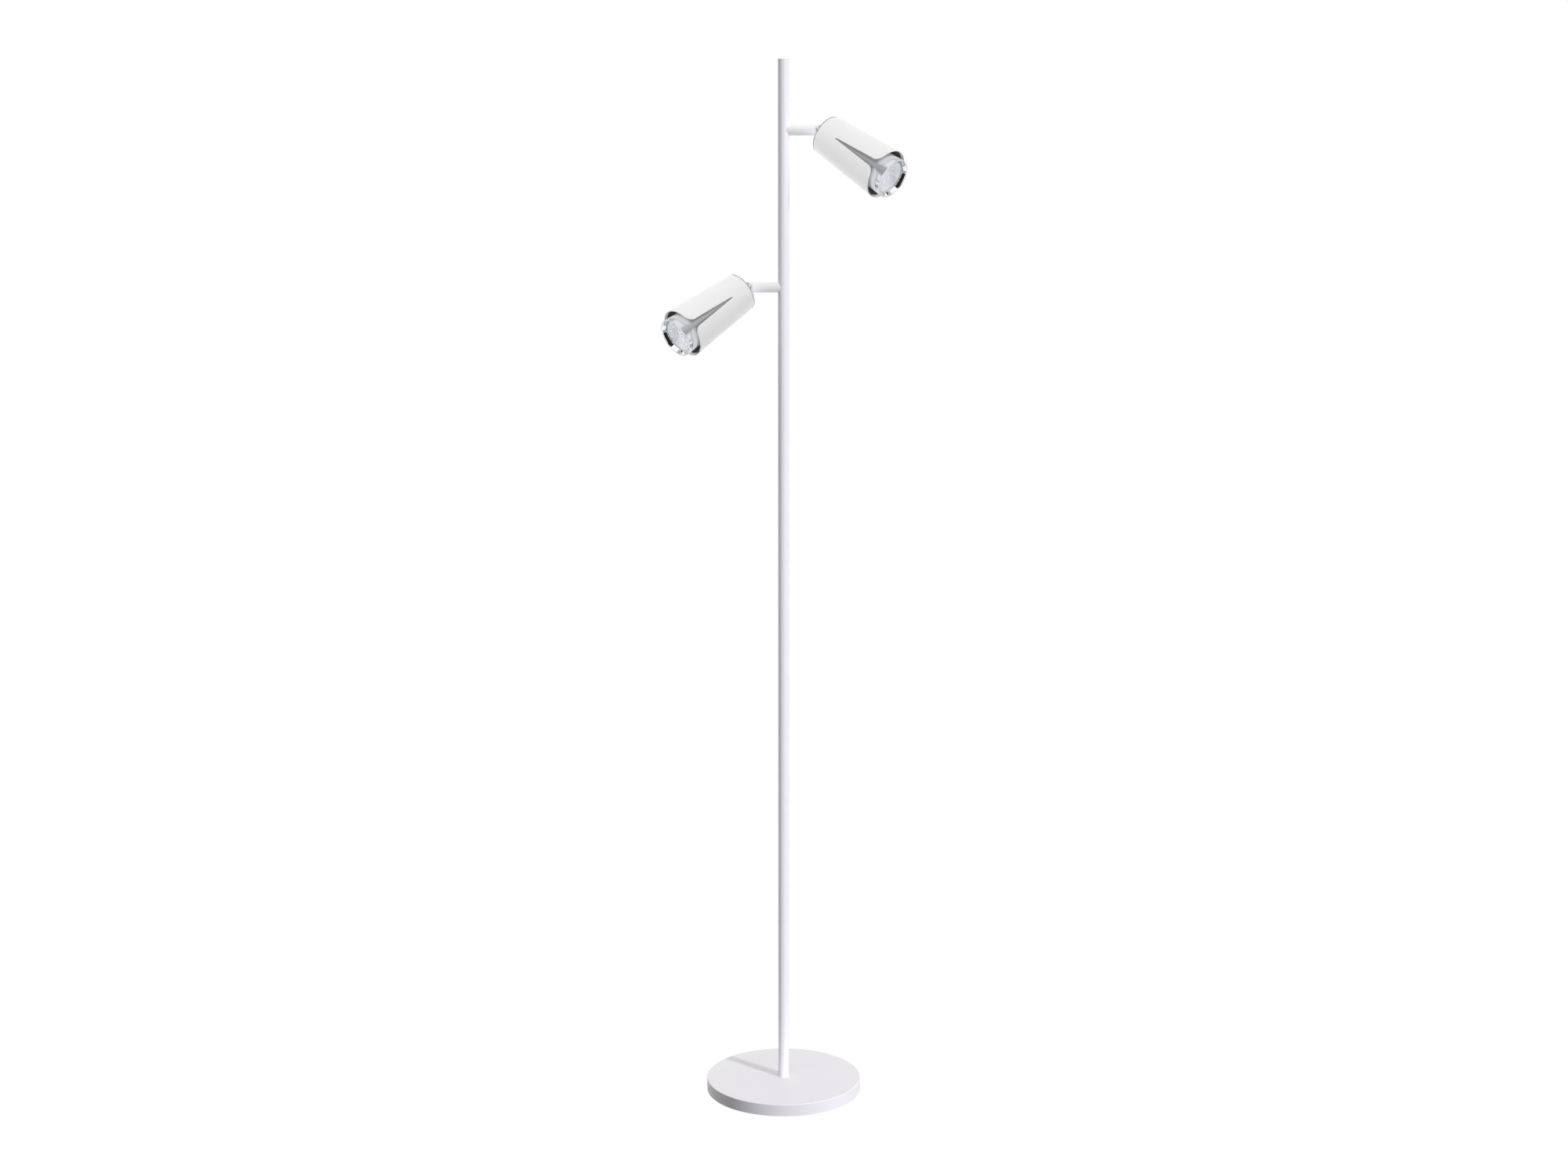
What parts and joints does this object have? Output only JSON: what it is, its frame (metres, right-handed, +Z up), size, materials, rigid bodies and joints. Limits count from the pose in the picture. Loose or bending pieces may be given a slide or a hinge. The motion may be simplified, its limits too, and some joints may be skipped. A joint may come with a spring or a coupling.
{
  "type": "floor lamp",
  "caption": "Upright pole on a weighted disc base, carrying adjustable spot heads on short arms; each flared shade swivels about its arm and tips on a knuckle hinge.",
  "frame": {"origin": "middle of the base's underside, on the floor and on the pole's axis", "axes": "+Z up along the pole, +X along the upper arm, -Y towards the front, where the heads point"},
  "size_m": [0.3512, 0.235, 1.555],
  "materials": {
    "white_paint": "satin powder coat, faintly cool white",
    "shade_paint": "smooth matt white lacquer",
    "satin_aluminium": "satin anodised",
    "bright_chrome": "polished",
    "zinc_steel": "zinc plated",
    "cast_iron": "as cast",
    "brass": "turned",
    "black_rubber": "moulded",
    "white_nylon": "moulded",
    "lead_sheath": "extruded sheath",
    "white_ceramic": "glazed steatite",
    "lamp_white": "smooth white glass ceramic",
    "clear_lens": "pressed clear lens"
  },
  "bodies": {
    "root": {"base_cover": "white_paint", "base_weight": "cast_iron", "bottom_plate": "zinc_steel", "foot_ring": "black_rubber", "plate_screws": "zinc_steel", "cable_gland": "black_rubber", "terminal_block": "white_nylon", "pole_stud": "zinc_steel", "foot_nut": "zinc_steel", "foot_washer": "zinc_steel", "pole_plug": "zinc_steel", "pole_tube": "white_paint", "pole_cap": "white_paint", "upper_lead": "lead_sheath", "upper_arm": "white_paint", "upper_cable_bush": "white_nylon", "upper_swivel_bush": "brass", "lower_lead": "lead_sheath", "lower_arm": "white_paint", "lower_cable_bush": "white_nylon", "lower_swivel_bush": "brass"},
    "upper_knuckle": {"upper_swivel_stem": "white_paint", "upper_swivel_nut": "zinc_steel", "upper_swivel_washer": "zinc_steel"},
    "upper_head": {"upper_back_cap": "white_paint", "upper_hinge_screw": "zinc_steel", "upper_hinge_nut": "zinc_steel", "upper_friction_washers": "white_nylon", "upper_shade": "shade_paint", "upper_back_ring": "bright_chrome", "upper_barrel": "satin_aluminium", "upper_mouth_ring": "bright_chrome", "upper_holder_bracket": "zinc_steel", "upper_bracket_screws": "zinc_steel", "upper_lampholder": "white_ceramic", "upper_lamp_body": "lamp_white", "upper_lamp_chip": "white_ceramic", "upper_lamp_pins": "zinc_steel", "upper_lamp_lens": "clear_lens", "upper_head_lead": "lead_sheath"},
    "lower_knuckle": {"lower_swivel_stem": "white_paint", "lower_swivel_nut": "zinc_steel", "lower_swivel_washer": "zinc_steel"},
    "lower_head": {"lower_back_cap": "white_paint", "lower_hinge_screw": "zinc_steel", "lower_hinge_nut": "zinc_steel", "lower_friction_washers": "white_nylon", "lower_shade": "shade_paint", "lower_back_ring": "bright_chrome", "lower_barrel": "satin_aluminium", "lower_mouth_ring": "bright_chrome", "lower_holder_bracket": "zinc_steel", "lower_bracket_screws": "zinc_steel", "lower_lampholder": "white_ceramic", "lower_lamp_body": "lamp_white", "lower_lamp_chip": "white_ceramic", "lower_lamp_pins": "zinc_steel", "lower_lamp_lens": "clear_lens", "lower_head_lead": "lead_sheath"}
  },
  "joints": [
    {"name": "upper_swivel", "type": "hinge", "parent": "root", "child": "upper_knuckle", "pos_m": [0.053, 0, 1.454], "axis": [1, 0, 0], "range_deg": [-123.5, 226.5]},
    {"name": "upper_tilt", "type": "hinge", "parent": "upper_knuckle", "child": "upper_head", "pos_m": [0.053, 0, 1.454], "axis": [0, 0.6225, -0.7826], "range_deg": [-46, 44]},
    {"name": "lower_swivel", "type": "hinge", "parent": "root", "child": "lower_knuckle", "pos_m": [-0.053, 0, 1.229], "axis": [-1, 0, 0], "range_deg": [-226.5, 123.5]},
    {"name": "lower_tilt", "type": "hinge", "parent": "lower_knuckle", "child": "lower_head", "pos_m": [-0.053, 0, 1.229], "axis": [0, -0.6225, 0.7826], "range_deg": [-46, 44]}
  ]
}
